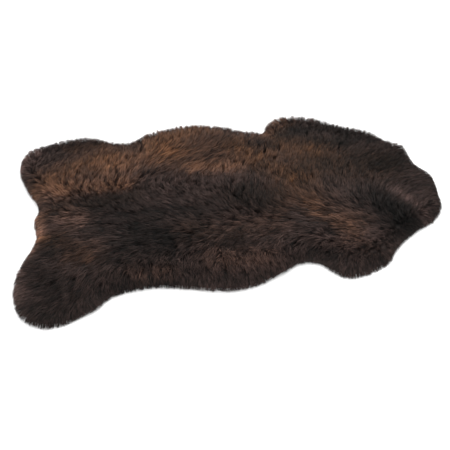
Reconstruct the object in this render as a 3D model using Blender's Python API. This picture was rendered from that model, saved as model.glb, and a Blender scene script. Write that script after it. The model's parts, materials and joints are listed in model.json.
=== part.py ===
"""A dark brown, long-wool sheepskin that lies flat with its wool up.

The real thing is one piece: a tanned hide about 2 mm thick, with the wool still growing on it.
Here it is one solid that is as deep as the wool. The flat underside is the hide, its edge is
tucked in below the wool, and the locks at the rim hang over it down to the floor.

X runs along the spine, from the hind legs at -X to the neck at +X. Y runs across the skin, and
+Y is the far side. Z is up. The origin is on the floor, under the middle of the skin.
"""
import math
import random
from collections import namedtuple

import bmesh
import bpy
import numpy as np
from mathutils import Matrix, Vector, noise
from mathutils.geometry import delaunay_2d_cdt

# Driving sizes, in metres
SKIN_LENGTH = 1.10
SKIN_WIDTH = 0.68
BODY_PILE = 0.050
HIDE_THICKNESS = 0.002

# The tables below are in centimetres, as they would be marked on a cutting table
CM = 0.01

# The outline that the wool's tips reach, section by section from the hind feet to the neck
Section = namedtuple("Section", "name far_along far_out near_along near_out")
SECTIONS = (
    Section("hind foot, inner side", -55.0, 21.5, -54.0, 19.0),
    Section("hind foot, sole", -54.5, 27.0, -54.0, 25.5),
    Section("hind foot, outer side", -51.5, 31.0, -52.0, 31.0),
    Section("hind leg", -45.0, 33.0, -46.5, 34.0),
    Section("hock", -36.5, 33.0, -41.5, 33.0),
    Section("thigh", -31.5, 31.0, -36.0, 31.0),
    Section("thigh, front", -28.5, 29.5, -34.0, 28.0),
    Section("waist", -24.0, 28.5, -25.0, 26.5),
    Section("flank", -20.0, 31.0, -17.0, 28.0),
    Section("belly", -12.0, 33.5, -9.0, 30.5),
    Section("belly, middle", -6.0, 34.0, -3.0, 31.0),
    Section("ribs", 1.0, 32.0, 3.0, 29.5),
    Section("chest", 6.0, 29.5, 7.5, 28.0),
    Section("elbow", 9.0, 27.0, 10.5, 25.5),
    Section("elbow tuft", 12.0, 28.0, 13.0, 26.0),
    Section("armpit", 14.0, 26.0, 16.0, 27.0),
    Section("forefoot, back", 15.5, 29.0, 17.5, 30.0),
    Section("forefoot", 20.0, 32.0, 21.5, 32.5),
    Section("foreleg", 24.5, 33.5, 26.5, 31.5),
    Section("shoulder", 31.0, 30.5, 32.0, 29.5),
    Section("shoulder, front", 38.5, 25.5, 34.5, 26.5),
    Section("neck, back", 45.5, 21.0, 40.5, 22.0),
    Section("neck", 48.0, 15.5, 46.0, 19.0),
    Section("neck corner", 52.0, 13.0, 52.0, 14.5),
)

# The two ends of the outline, between the far side and the near side
Landmark = namedtuple("Landmark", "name along out")
NECK_END = (
    Landmark("far cheek", 51.5, 8.0),
    Landmark("dip beside the nape", 52.5, 3.0),
    Landmark("nape", 55.0, -0.5),
    Landmark("near cheek", 53.5, -10.0),
)
TAIL_END = (
    Landmark("near notch", -49.5, -4.5),
    Landmark("tail", -50.5, 1.0),
    Landmark("far notch", -49.5, 4.5),
)

# Places where the wool is shorter than on the body, each an oval with a soft edge
Zone = namedtuple("Zone", "name along out reach_along reach_out pile")
SHORT_WOOL = (
    Zone("far hind leg", -50.0, 28.0, 12.0, 9.0, 4.0),
    Zone("near hind leg", -48.0, -29.0, 13.0, 9.0, 4.2),
    Zone("tail", -50.0, 0.0, 6.0, 8.0, 4.0),
    Zone("neck", 43.0, -2.0, 27.0, 45.0, 3.7),
    Zone("far foreleg", 27.0, 28.0, 14.0, 9.0, 3.4),
    Zone("near foreleg", 25.0, -29.0, 11.0, 7.0, 3.5),
)

# Troughs in the wool, from one point to another. A trough of negative depth is a ridge.
Fold = namedtuple("Fold", "name from_along from_out to_along to_out width depth")
FOLDS = (
    Fold("tail valley", -47.5, 2.5, -24.0, 6.0, 2.6, 1.2),
    Fold("tail dip", -49.5, -6.0, -40.0, -9.5, 2.2, 0.8),
    Fold("far hind leg, behind its rolled edge", -53.0, 21.5, -47.5, 28.0, 1.7, 1.0),
    Fold("far thigh, behind its rolled edge", -47.5, 28.0, -31.0, 28.5, 1.7, 1.0),
    Fold("near thigh hollow", -46.0, -13.0, -36.0, -26.0, 3.0, 0.7),
    Fold("loin hollow", -33.0, 2.0, -20.0, -20.0, 5.0, 0.6),
    Fold("far armpit", 14.0, 25.0, 16.5, 12.0, 1.8, 0.8),
    Fold("near armpit", 14.5, -25.0, 21.0, -18.0, 1.8, 0.9),
    Fold("far shoulder, behind its edge", 22.0, 27.5, 42.0, 17.0, 2.0, 0.6),
    Fold("neck pit", 42.0, 9.5, 45.5, 0.5, 2.2, 0.8),
    Fold("neck ridge", 36.0, -5.0, 42.5, -15.5, 1.3, -0.5),
    Fold("hollow behind the neck ridge", 36.5, -12.0, 39.5, -21.0, 3.0, 0.9),
    Fold("neck crease", 43.5, -2.5, 50.0, -10.0, 1.3, 0.7),
)

# Lumps of the wool: how far apart they lie and how high they stand, in metres
LUMPS = ((0.090, 0.0045), (0.040, 0.0040))

# The slab's rim lies inside the outline, and one lock grows from each step round it
RIM_POINTS = 240
RIM_INSET = 0.009

# Rim locks: lengths in metres, lean in radians, the rest as shares of the lock's length or root
LOCK_LENGTHS = (0.011, 0.021)
SHORTEST_LOCK = 0.004
LOCK_LEAN = 0.26
LEAN_SPREAD = 0.15
LOCK_STEEPNESS = 1.6
LOCK_SWAY_RATE = 14.0
LOCK_BELLY = 0.55
LOCK_BELLY_SCALE = 0.68
LOCK_TIP_SCALE = 0.34
Lock = namedtuple("Lock", "root belly tip")

# The side of the slab: insets from the rim and heights, in metres
HIDE_INSET = 0.018
UNDERWOOL_INSET = 0.008
UNDERWOOL_HEIGHT = 0.004
WIDEST_HEIGHT = 0.012
UPPER_SIDE_INSET = 0.003
UPPER_SIDE_SHARE = 0.52
SHOULDER_INSET = 0.014
ROLL_OFF = 0.040

# How far apart the points of the upper surface and of the underside lie, in metres
CROWN_SPACING = 0.021
UNDERSIDE_SPACING = 0.080
POINT_NUDGE = 0.2
RING_CLEARANCE = 0.62

# A ring moves inwards in steps of this many metres, and each step eases its corners by this share
INSET_STEP = 0.003
INSET_EASE = 0.2

WOOL_COLOUR = (0.045, 0.027, 0.019, 1.0)
HIDE_COLOUR = (0.42, 0.31, 0.21, 1.0)
SEED = 11


def clear_scene():
    for item in list(bpy.data.objects):
        bpy.data.objects.remove(item, do_unlink=True)


def make_material(name, colour, roughness):
    material = bpy.data.materials.new(name)
    material.use_nodes = True
    shader = material.node_tree.nodes["Principled BSDF"]
    shader.inputs["Base Color"].default_value = colour
    shader.inputs["Roughness"].default_value = roughness
    shader.inputs["Metallic"].default_value = 0.0
    material.diffuse_color = colour
    return material


def outline_knots():
    """The landmarks round the skin, anticlockwise as seen from above, in metres."""
    near_side = [(row.near_along, -row.near_out) for row in SECTIONS]
    far_side = [(row.far_along, row.far_out) for row in reversed(SECTIONS)]
    neck_end = [(row.along, row.out) for row in reversed(NECK_END)]
    tail_end = [(row.along, row.out) for row in reversed(TAIL_END)]
    return np.array(near_side + neck_end + far_side + tail_end) * CM


def rounded(knots, steps=12):
    """A closed curve through the knots, a Catmull-Rom spline that doesn't overshoot at close ones."""
    points = []
    for index in range(len(knots)):
        p0, p1, p2, p3 = (knots[(index + shift) % len(knots)] for shift in (-1, 0, 1, 2))
        t1 = np.linalg.norm(p1 - p0) ** 0.5
        t2 = t1 + np.linalg.norm(p2 - p1) ** 0.5
        t3 = t2 + np.linalg.norm(p3 - p2) ** 0.5
        for t in np.linspace(t1, t2, steps, endpoint=False):
            a = p0 + (p1 - p0) * t / t1
            b = p1 + (p2 - p1) * (t - t1) / (t2 - t1)
            c = p2 + (p3 - p2) * (t - t2) / (t3 - t2)
            ab = a + (b - a) * t / t2
            bc = b + (c - b) * (t - t1) / (t3 - t1)
            points.append(ab + (bc - ab) * (t - t1) / (t2 - t1))
    return np.array(points)


def evenly_spaced(ring, count):
    closed = np.vstack([ring, ring[:1]])
    lengths = np.linalg.norm(np.diff(closed, axis=0), axis=1)
    travelled = np.concatenate([[0.0], np.cumsum(lengths)])
    stops = np.linspace(0.0, travelled[-1], count, endpoint=False)
    return np.column_stack([np.interp(stops, travelled, closed[:, axis]) for axis in (0, 1)])


def inward_normals(ring):
    along = np.roll(ring, -1, axis=0) - np.roll(ring, 1, axis=0)
    inward = np.column_stack([-along[:, 1], along[:, 0]])
    return inward / np.linalg.norm(inward, axis=1)[:, None]


def moved_in(ring, distance):
    """The ring moved inwards in short steps, each eased a little so that no corner folds over."""
    steps = math.ceil(distance / INSET_STEP)
    for _ in range(steps):
        ring = ring + inward_normals(ring) * distance / steps
        between = (np.roll(ring, -1, axis=0) + np.roll(ring, 1, axis=0)) / 2
        ring = ring + (between - ring) * INSET_EASE
    return ring


def distance_to_segments(points, starts, ends):
    """How far each point lies from the nearest of the segments."""
    run = ends - starts
    offset = points[:, None, :] - starts[None, :, :]
    share = np.clip((offset * run).sum(axis=2) / (run ** 2).sum(axis=1), 0.0, 1.0)
    gap = offset - share[:, :, None] * run
    return np.sqrt((gap ** 2).sum(axis=2)).min(axis=1)


def distance_to_ring(points, ring):
    return distance_to_segments(points, ring, np.roll(ring, -1, axis=0))


def is_inside(points, ring):
    """True for each point that a line towards +X leaves the ring from."""
    inside = np.zeros(len(points), dtype=bool)
    for start, end in zip(ring, np.roll(ring, -1, axis=0)):
        crosses = (start[1] > points[:, 1]) != (end[1] > points[:, 1])
        rise = end[1] - start[1]
        if rise != 0.0:
            crossing = start[0] + (points[:, 1] - start[1]) * (end[0] - start[0]) / rise
            inside ^= crosses & (points[:, 0] < crossing)
    return inside


def scattered_inside(ring, spacing, rng):
    """Points in staggered rows inside the ring, nudged a little so that no rows show."""
    low, high = ring.min(axis=0), ring.max(axis=0)
    row_height = spacing * math.sqrt(3) / 2
    nudge = POINT_NUDGE * spacing
    points = []
    for row in range(int((high[1] - low[1]) / row_height) + 2):
        for column in range(int((high[0] - low[0]) / spacing) + 2):
            x = low[0] + (column + 0.5 * (row % 2)) * spacing
            y = low[1] + row * row_height
            points.append((x + rng.uniform(-nudge, nudge), y + rng.uniform(-nudge, nudge)))
    points = np.array(points)
    clear_of_ring = distance_to_ring(points, ring) > spacing * RING_CLEARANCE
    return points[clear_of_ring & is_inside(points, ring)]


def pile_at(points):
    """The wool's height at each point before folds and lumps."""
    pile = np.full(len(points), BODY_PILE)
    for zone in SHORT_WOOL:
        centre = np.array([zone.along, zone.out]) * CM
        reach = np.array([zone.reach_along, zone.reach_out]) * CM
        ovalness = (((points - centre) / reach) ** 2).sum(axis=1)
        pile += (zone.pile * CM - pile) * np.exp(-ovalness ** 2)
    return pile


def fold_depth_at(points):
    depth = np.zeros(len(points))
    for fold in FOLDS:
        start = np.array([[fold.from_along, fold.from_out]]) * CM
        end = np.array([[fold.to_along, fold.to_out]]) * CM
        gap = distance_to_segments(points, start, end)
        depth += fold.depth * CM * np.exp(-(gap / (fold.width * CM)) ** 2)
    return depth


def lump_height_at(points):
    heights = np.zeros(len(points))
    for size, height in LUMPS:
        swells = [noise.noise(Vector((x / size, y / size, SEED + size))) for x, y in points]
        heights += height * np.array(swells)
    return heights


def wool_top(points, rim):
    """The height of the wool's upper surface, which rolls down towards the rim."""
    depth_in = np.clip(distance_to_ring(points, rim) / ROLL_OFF, 0.0, 1.0)
    roll = np.sqrt(1.0 - (1.0 - depth_in) ** 2)
    return (pile_at(points) + lump_height_at(points) - fold_depth_at(points)) * roll


def at_height(ring, height):
    heights = np.broadcast_to(height, len(ring))
    return np.column_stack([ring, heights])


def side_rings(rim):
    """The rings of the slab from the hide's lower edge up to the shoulder of the wool."""
    hide_edge = moved_in(rim, HIDE_INSET)
    shoulder = moved_in(rim, SHOULDER_INSET)
    shoulder_height = wool_top(shoulder, rim)
    upper_height = WIDEST_HEIGHT + (shoulder_height - WIDEST_HEIGHT) * UPPER_SIDE_SHARE
    return [
        at_height(hide_edge, 0.0),
        at_height(hide_edge, HIDE_THICKNESS),
        at_height(moved_in(rim, UNDERWOOL_INSET), UNDERWOOL_HEIGHT),
        at_height(rim, WIDEST_HEIGHT),
        at_height(moved_in(rim, UPPER_SIDE_INSET), upper_height),
        at_height(shoulder, shoulder_height),
    ]


def bridge(bm, lower, upper):
    """A band of four-sided faces between two rings of vertices."""
    faces = []
    for index in range(len(lower)):
        after = (index + 1) % len(lower)
        faces.append(bm.faces.new((lower[index], lower[after], upper[after], upper[index])))
    return faces


def close_with(bm, ring, inner):
    """Triangles that fill the ring of vertices, through the inner ones."""
    corners = ring + inner
    flat = [vertex.co.to_2d() for vertex in corners]
    ring_edges = [(index, (index + 1) % len(ring)) for index in range(len(ring))]
    points, _, triangles, sources, _, _ = delaunay_2d_cdt(flat, ring_edges, [], 0, 1e-7, True)
    middles = np.array([[sum(points[index][axis] for index in triangle) / 3 for axis in (0, 1)]
                        for triangle in triangles])
    within = is_inside(middles, np.array(flat[:len(ring)]))
    return [bm.faces.new([corners[sources[index][0]] for index in triangle])
            for triangle, keep in zip(triangles, within) if keep]


def turned(direction, angle):
    return Matrix.Rotation(angle, 3, "Z") @ direction


def lock_length(root, direction, roots, rng):
    """A random length, shortened where the lock would meet the skin again, as in an armpit."""
    length = rng.uniform(*LOCK_LENGTHS)
    while length > SHORTEST_LOCK:
        tip = np.array([(root + direction * length).to_2d()])
        clear_reach = length * math.cos(LOCK_LEAN) * 0.95
        if distance_to_ring(tip, roots)[0] > clear_reach:
            break
        length *= 0.85
    return length


def pulled_out(bm, face, centre, scale):
    """The face extruded, shrunk about its middle and moved so that its middle is at the centre."""
    end_face = bmesh.ops.extrude_discrete_faces(bm, faces=[face])["faces"][0]
    old_centre = end_face.calc_center_median()
    for vertex in end_face.verts:
        vertex.co = centre + (vertex.co - old_centre) * scale
    return end_face


def plan_lock(face, roots, rng):
    """The middles of a lock's root, belly and tip. The belly and tip hang lower than the root."""
    root = face.calc_center_median()
    outward = Vector((face.normal.x, face.normal.y, 0.0)).normalized()
    sway = noise.noise(Vector((root.x * LOCK_SWAY_RATE, root.y * LOCK_SWAY_RATE, SEED)))
    direction = turned(outward, LOCK_LEAN * (sway + rng.uniform(-LEAN_SPREAD, LEAN_SPREAD)))
    length = lock_length(root, direction, roots, rng)
    drop = Vector((0.0, 0.0, -min(root.z, length * LOCK_STEEPNESS)))
    belly = root + direction * length * LOCK_BELLY + drop * (1.0 - LOCK_BELLY_SCALE)
    return Lock(root, belly, root + direction * length + drop)


def pull_out_locks(bm, faces, rng):
    """Each face of the side becomes a four-sided lock that bends down to rest on the floor."""
    roots = np.array([face.calc_center_median().to_2d() for face in faces])
    locks = [plan_lock(face, roots, rng) for face in faces]
    for index, face in enumerate(faces):
        lock = locks[index]
        beside = (locks[index - 1], locks[(index + 1) % len(locks)])
        pitch = min((lock.root - other.root).length for other in beside)
        belly_room = min((lock.belly - other.belly).length for other in beside) / pitch
        tip_room = min((lock.tip - other.tip).length for other in beside) / pitch
        belly_scale = LOCK_BELLY_SCALE * min(1.0, belly_room)
        tip_shrink = LOCK_TIP_SCALE * min(1.0, tip_room) / belly_scale

        belly_face = pulled_out(bm, face, lock.belly, belly_scale)
        lowest = min(vertex.co.z for vertex in belly_face.verts)
        resting_height = (lock.belly.z - lowest) * tip_shrink
        tip = Vector((lock.tip.x, lock.tip.y, max(lock.tip.z, resting_height)))
        pulled_out(bm, belly_face, tip, tip_shrink)


def centre_on_origin(bm):
    """Moves the solid so that the origin is on the floor under the middle of its box."""
    xs = [vertex.co.x for vertex in bm.verts]
    ys = [vertex.co.y for vertex in bm.verts]
    middle = Vector(((min(xs) + max(xs)) / 2, (min(ys) + max(ys)) / 2, 0.0))
    bmesh.ops.translate(bm, verts=bm.verts, vec=-middle)


def make_rim():
    """The widest line of the slab: the outline at its real size, moved in by the locks' length."""
    outline = rounded(outline_knots())
    low, high = outline.min(axis=0), outline.max(axis=0)
    fitted = (outline - (low + high) / 2) / (high - low) * np.array([SKIN_LENGTH, SKIN_WIDTH])
    fine_ring = evenly_spaced(fitted, RIM_POINTS * 3)
    return evenly_spaced(moved_in(fine_ring, RIM_INSET), RIM_POINTS)


def model_skin(bm):
    """The whole skin: its side ring by ring, its crown, its flat underside and its rim locks."""
    rng = random.Random(SEED)
    rim = make_rim()
    rings = side_rings(rim)
    verts = [[bm.verts.new(point) for point in ring] for ring in rings]
    bands = [bridge(bm, lower, upper) for lower, upper in zip(verts, verts[1:])]
    hide_band, _, _, lock_band, _ = bands

    crown = scattered_inside(rings[-1][:, :2], CROWN_SPACING, rng)
    crown_verts = [bm.verts.new(point) for point in at_height(crown, wool_top(crown, rim))]
    close_with(bm, verts[-1], crown_verts)

    underside = scattered_inside(rings[0][:, :2], UNDERSIDE_SPACING, rng)
    underside_verts = [bm.verts.new(point) for point in at_height(underside, 0.0)]
    underside_faces = close_with(bm, verts[0], underside_verts)

    bmesh.ops.recalc_face_normals(bm, faces=bm.faces)
    for face in underside_faces + hide_band:
        face.material_index = 1
    pull_out_locks(bm, lock_band, rng)
    centre_on_origin(bm)
    bmesh.ops.triangulate(bm, faces=bm.faces)


def build_sheepskin(collection):
    mesh = bpy.data.meshes.new("sheepskin")
    bm = bmesh.new()
    model_skin(bm)
    bm.to_mesh(mesh)
    bm.free()
    mesh.materials.append(make_material("dark brown wool", WOOL_COLOUR, 0.85))
    mesh.materials.append(make_material("tanned hide", HIDE_COLOUR, 0.80))
    mesh.shade_smooth()
    sheepskin = bpy.data.objects.new("sheepskin", mesh)
    collection.objects.link(sheepskin)
    return sheepskin


def main():
    clear_scene()
    collection = bpy.data.collections.new("sheepskin")
    bpy.context.scene.collection.children.link(collection)
    sheepskin = build_sheepskin(collection)
    length, width, height = sheepskin.dimensions
    print(f"sheepskin: {length:.3f} x {width:.3f} x {height:.3f} m")


main()
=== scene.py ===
# %% [markdown]
# # A dark brown sheepskin, lying with its wool up
#
# This lesson dresses one plain solid so that it looks like a long-wool sheepskin. The solid, a lumpy slab
# in the skin's outline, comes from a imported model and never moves. All that shows is made here: the tanned
# hide on the floor, a dense coat of underwool on it, and some fourteen thousand locks of wool that grow out
# of the underwool until they reach the solid's surface.
#
# Lengths are in metres unless a name says otherwise. X runs along the spine from the hind legs to the neck,
# Y runs across the skin, and Z points up through the wool.

# %% Load the solid
import json
import math

import bmesh
import bpy
import numpy as np
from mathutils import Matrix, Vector
from mathutils.bvhtree import BVHTree
from mathutils.geometry import delaunay_2d_cdt

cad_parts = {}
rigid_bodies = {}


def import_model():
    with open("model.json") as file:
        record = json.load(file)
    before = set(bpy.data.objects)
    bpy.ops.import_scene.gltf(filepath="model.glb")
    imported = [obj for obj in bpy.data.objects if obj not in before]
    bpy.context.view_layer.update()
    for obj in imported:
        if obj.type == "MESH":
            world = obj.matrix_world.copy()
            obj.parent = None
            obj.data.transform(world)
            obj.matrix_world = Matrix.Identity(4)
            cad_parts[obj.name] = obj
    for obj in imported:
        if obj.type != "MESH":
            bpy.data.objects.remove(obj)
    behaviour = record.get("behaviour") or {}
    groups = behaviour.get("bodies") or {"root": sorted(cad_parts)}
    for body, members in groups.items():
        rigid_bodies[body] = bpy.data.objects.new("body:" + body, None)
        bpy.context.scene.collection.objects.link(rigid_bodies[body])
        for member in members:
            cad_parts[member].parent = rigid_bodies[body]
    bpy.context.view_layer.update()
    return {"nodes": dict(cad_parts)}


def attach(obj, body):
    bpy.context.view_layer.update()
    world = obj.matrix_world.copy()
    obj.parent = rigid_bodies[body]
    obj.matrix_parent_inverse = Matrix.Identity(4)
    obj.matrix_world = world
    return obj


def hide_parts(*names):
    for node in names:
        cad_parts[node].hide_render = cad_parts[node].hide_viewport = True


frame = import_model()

CM = 0.01
MM = 0.001
solid = frame["nodes"]["sheepskin"]

# %% [markdown]
# ## Camera
#
# Three typed angles don't tell what a camera looks at. So this one is placed as a photographer would say
# it: aim at a point on the floor, stand so far away, look down at such an angle and from so far to one
# side. A track quaternion then turns the camera's minus Z axis to the aim.

# %% Camera
CAMERA_AIM = Vector((-0.0358, -0.0887, 0.0))
CAMERA_DISTANCE = 1.5717
LOOK_DOWN = math.radians(42)
LOOK_ASIDE = math.radians(11)
CAMERA_LENS_MM = 50
SENSOR_MM = 36


def show(name, data):
    """A new object with this data, put in the scene."""
    thing = bpy.data.objects.new(name, data)
    bpy.context.scene.collection.objects.link(thing)
    return thing


towards_camera = Vector((
    -math.sin(LOOK_ASIDE) * math.cos(LOOK_DOWN),
    -math.cos(LOOK_ASIDE) * math.cos(LOOK_DOWN),
    math.sin(LOOK_DOWN),
))
camera_data = bpy.data.cameras.new("camera")
camera_data.lens = CAMERA_LENS_MM
camera_data.sensor_width = SENSOR_MM
camera = show("camera", camera_data)
camera.location = CAMERA_AIM + CAMERA_DISTANCE * towards_camera
camera.rotation_euler = (-towards_camera).to_track_quat("-Z", "Y").to_euler()
bpy.context.scene.camera = camera
print("the camera stands", round(camera.location.z, 2), "m above the floor")

# %% [markdown]
# ## Floor and light
#
# Dark wool shows its locks only in soft light with a direction. A wide lamp above the far side gives each
# lock a lit side, a weaker one on the camera's side opens the shadows, and a pale world fills the rest. The
# Standard view keeps dark browns as they are mixed, where the default view would lift and grey them.

# %% Floor and light
WORLD_COLOUR = (1.0, 1.0, 1.0, 1.0)
WORLD_LIGHT = 1.0
FLOOR_REACH = 14.0
FLOOR_SIDES = 64
FLOOR_COLOUR = (0.93, 0.93, 0.93, 1.0)
FLOOR_ROUGHNESS = 0.9
LAMPS = (
    # name, place, width, watts
    ("main lamp", (0.5, 1.3, 2.3), 1.8, 52),
    ("fill lamp", (-1.1, -1.7, 2.0), 2.2, 26),
)


def new_material(name, **values):
    """A new material, its node tree and its shader, with values by socket name, _ standing for a space."""
    material = bpy.data.materials.new(name)
    material.use_nodes = True
    shader = material.node_tree.nodes["Principled BSDF"]
    for socket_name, value in values.items():
        shader.inputs[socket_name.replace("_", " ")].default_value = value
    return material, material.node_tree, shader


def mesh_from(bm, name):
    """The bmesh as a mesh; the bmesh goes."""
    mesh = bpy.data.meshes.new(name)
    bm.to_mesh(mesh)
    bm.free()
    return mesh


def add_lamp(name, place, width, watts):
    """A square soft lamp that points at the middle of the skin."""
    lamp_data = bpy.data.lights.new(name, "AREA")
    lamp_data.size = width
    lamp_data.energy = watts
    lamp = show(name, lamp_data)
    lamp.location = place
    lamp.rotation_euler = (-Vector(place)).to_track_quat("-Z", "Y").to_euler()


def add_floor():
    """A pale round floor, under the skin by less than the eye can see."""
    bm = bmesh.new()
    bmesh.ops.create_circle(bm, cap_ends=True, segments=FLOOR_SIDES, radius=FLOOR_REACH)
    floor = show("floor", mesh_from(bm, "floor"))
    pale = new_material("pale floor", Base_Color=FLOOR_COLOUR, Roughness=FLOOR_ROUGHNESS)[0]
    floor.data.materials.append(pale)


world = bpy.data.worlds.new("pale studio")
world.use_nodes = True
world.node_tree.nodes["Background"].inputs["Color"].default_value = WORLD_COLOUR
world.node_tree.nodes["Background"].inputs["Strength"].default_value = WORLD_LIGHT
bpy.context.scene.world = world
bpy.context.scene.view_settings.view_transform = "Standard"
for lamp_facts in LAMPS:
    add_lamp(*lamp_facts)
add_floor()
print("the studio has", len(LAMPS), "lamps and a floor", 2 * FLOOR_REACH, "m across")

# %% [markdown]
# ## The hide's outline
#
# The flat underside of the solid is the tanned hide, so its outline need not be drawn again. A copy of the
# mesh is merged first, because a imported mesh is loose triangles. The faces that lie on the floor are kept,
# and the edges that only one of them uses, walked from end to end, are the outline.

# %% The hide's outline
MERGE = 0.001 * MM
ON_THE_FLOOR = 0.05 * MM


def underside_of(thing):
    """The faces of a merged copy of thing that lie on the floor, as a bmesh."""
    bm = bmesh.new()
    bm.from_mesh(thing.data)
    bmesh.ops.remove_doubles(bm, verts=bm.verts, dist=MERGE)
    others = [face for face in bm.faces if max(v.co.z for v in face.verts) > ON_THE_FLOOR]
    bmesh.ops.delete(bm, geom=others, context="FACES")
    return bm


def outline_of(bm):
    """The points of a flat mesh's one boundary, in order, anticlockwise seen from above."""
    follows = {}
    for edge in bm.edges:
        if edge.is_boundary:
            loop = edge.link_loops[0]
            follows[loop.vert.index] = loop.link_loop_next.vert
    vert = next(iter(follows.values()))
    ring = []
    for _ in follows:
        ring.append(vert.co.xy[:])
        vert = follows[vert.index]
    ring = np.array(ring)
    after = np.roll(ring, -1, axis=0)
    turns_left = (ring[:, 0] * after[:, 1] - ring[:, 1] * after[:, 0]).sum() > 0
    return ring if turns_left else ring[::-1]


underside = underside_of(solid)
underside.verts.index_update()
hide_outline = outline_of(underside)
hide_area = sum(face.calc_area() for face in underside.faces)

# %% [markdown]
# ## Helpers for node trees
#
# A node tree can be drawn in the editor or written out, and then each node takes three lines: make it, set
# its options, link its inputs. Two small helpers do that, and a few more stand for nodes that come back
# often, so that a tree reads like a list of steps.

# %% Helpers for node trees
def feed(tree, socket, source):
    """Links source to a socket if it is a socket itself, and otherwise sets it as the plain value."""
    if isinstance(source, bpy.types.NodeSocket):
        tree.links.new(source, socket)
    else:
        socket.default_value = source


def add(tree, kind, inputs=None, **settings):
    """Adds a node of a kind, with its options set and its inputs fed, by name or by number."""
    node = tree.nodes.new(kind)
    for name, value in settings.items():
        setattr(node, name, value)
    for name, source in (inputs or {}).items():
        feed(tree, node.inputs[name], source)
    return node


def result(tree, kind, inputs=None, **settings):
    """Adds a node and gives its first output."""
    return add(tree, kind, inputs, **settings).outputs[0]


def maths(tree, operation, first, second=0.0, third=0.0):
    """The result of one Math node."""
    return result(tree, "ShaderNodeMath", {0: first, 1: second, 2: third}, operation=operation)


def vectors(tree, operation, first, second=(0.0, 0.0, 0.0), third=(0.0, 0.0, 0.0)):
    """The vector that comes out of one Vector Math node."""
    return result(tree, "ShaderNodeVectorMath", {0: first, 1: second, 2: third}, operation=operation)


def scaled(tree, vector, factor):
    """A vector made longer or shorter by a factor."""
    return result(tree, "ShaderNodeVectorMath", {0: vector, "Scale": factor}, operation="SCALE")


def axis_of(tree, vector, axis):
    """A vector's X, Y or Z."""
    return add(tree, "ShaderNodeSeparateXYZ", {0: vector}).outputs[axis]


def spread_over(tree, share, low, high):
    """A share from 0 to 1 spread over the range from low to high."""
    return result(tree, "ShaderNodeMapRange", {"Value": share, "To Min": low, "To Max": high})


def mix(tree, kind, share, first, second):
    """Two numbers, vectors or colours mixed by a share."""
    first_socket, output = {"FLOAT": (2, 0), "VECTOR": (4, 1), "RGBA": (6, 2)}[kind]
    inputs = {0: share, first_socket: first, first_socket + 1: second}
    return add(tree, "ShaderNodeMix", inputs, data_type=kind).outputs[output]


def noise(tree, place, scale, detail):
    """The height of a noise at a place."""
    return result(tree, "ShaderNodeTexNoise", {"Vector": place, "Scale": scale, "Detail": detail})


def bump(tree, shader, height, strength, depth):
    """Makes a shader's surface look as if a height from 0 to 1 raised it by a depth."""
    inputs = {"Height": height, "Strength": strength, "Distance": depth}
    feed(tree, shader.inputs["Normal"], result(tree, "ShaderNodeBump", inputs))


print("the helpers are ready")

# %% [markdown]
# ## The suede of the hide
#
# The flesh side of a tanned skin is suede: a short nap that lies in swept patches, over faint clouds of
# tan. Noise shows that at any size. One noise makes the clouds, a stretched one the brushed nap, and a fine
# one the nap's height for a bump.

# %% The suede of the hide
SUEDE_TAN = (0.40, 0.29, 0.19, 1.0)
SUEDE_SHADE = (0.27, 0.18, 0.115, 1.0)
CLOUDS_PER_METRE = 9.0
CLOUDS_SHARE = 0.6
STROKES_PER_METRE = 30.0
STROKES_SHARE = 0.45
STROKE_TURN = (0, 0, 0.5)
STROKE_STRETCH = (1, 5, 1)
NAP_PER_METRE = 900.0
NAP_DEPTH = 0.4 * MM


def make_suede():
    """Tan suede, cloudy and brushed, for the flesh side of the skin."""
    material, tree, shader = new_material("tanned suede", Roughness=0.85, Sheen_Weight=0.2)
    place = add(tree, "ShaderNodeTexCoord").outputs["Object"]
    clouds = noise(tree, place, CLOUDS_PER_METRE, detail=4.0)
    swept = {"Vector": place, "Rotation": STROKE_TURN, "Scale": STROKE_STRETCH}
    strokes = noise(tree, result(tree, "ShaderNodeMapping", swept), STROKES_PER_METRE, detail=3.0)
    clouds = maths(tree, "MULTIPLY", clouds, CLOUDS_SHARE)
    both = maths(tree, "MULTIPLY_ADD", strokes, STROKES_SHARE, clouds)
    sharper = result(tree, "ShaderNodeMapRange", {"Value": both, "From Min": 0.38, "From Max": 0.66})
    feed(tree, shader.inputs["Base Color"], mix(tree, "RGBA", sharper, SUEDE_SHADE, SUEDE_TAN))
    nap = noise(tree, place, NAP_PER_METRE, detail=2.0)
    bump(tree, shader, nap, strength=0.35, depth=NAP_DEPTH)
    return material


suede = make_suede()
print("made", suede.name)

# %% [markdown]
# ## The hide
#
# The hide is one cut sheet about 2 mm thick. The faces of the solid's underside are that sheet's lower
# side, so they are made a mesh of their own and thickened upwards by a Solidify modifier, which also closes
# its edge.

# %% The hide
HIDE_THICKNESS = 2 * MM


def plain_piece(name, source, material):
    """The evaluated shape of an object as a plain mesh object, with no modifier left; the source goes."""
    depsgraph = bpy.context.evaluated_depsgraph_get()
    mesh = bpy.data.meshes.new_from_object(source.evaluated_get(depsgraph))
    mesh.name = name
    if not mesh.materials:
        mesh.materials.append(material)
    bpy.data.objects.remove(source)
    return show(name, mesh)


def make_hide(bm, material):
    """A sheet of hide on the floor, in the outline of the solid's underside."""
    blank = show("hide blank", mesh_from(bm, "hide blank"))
    thicken = blank.modifiers.new("thicken", "SOLIDIFY")
    thicken.thickness = HIDE_THICKNESS
    thicken.offset = -1
    return plain_piece("hide", blank, material)


hide = make_hide(underside, suede)
print("the hide has", len(hide.data.polygons), "faces")

# %% [markdown]
# ## How deep the wool is
#
# The solid's top is where the wool ends. A ray shot down at it from above tells how deep the wool is at any
# place. A BVH tree keeps the triangles sorted by place, which makes thousands of rays cheap.

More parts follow.
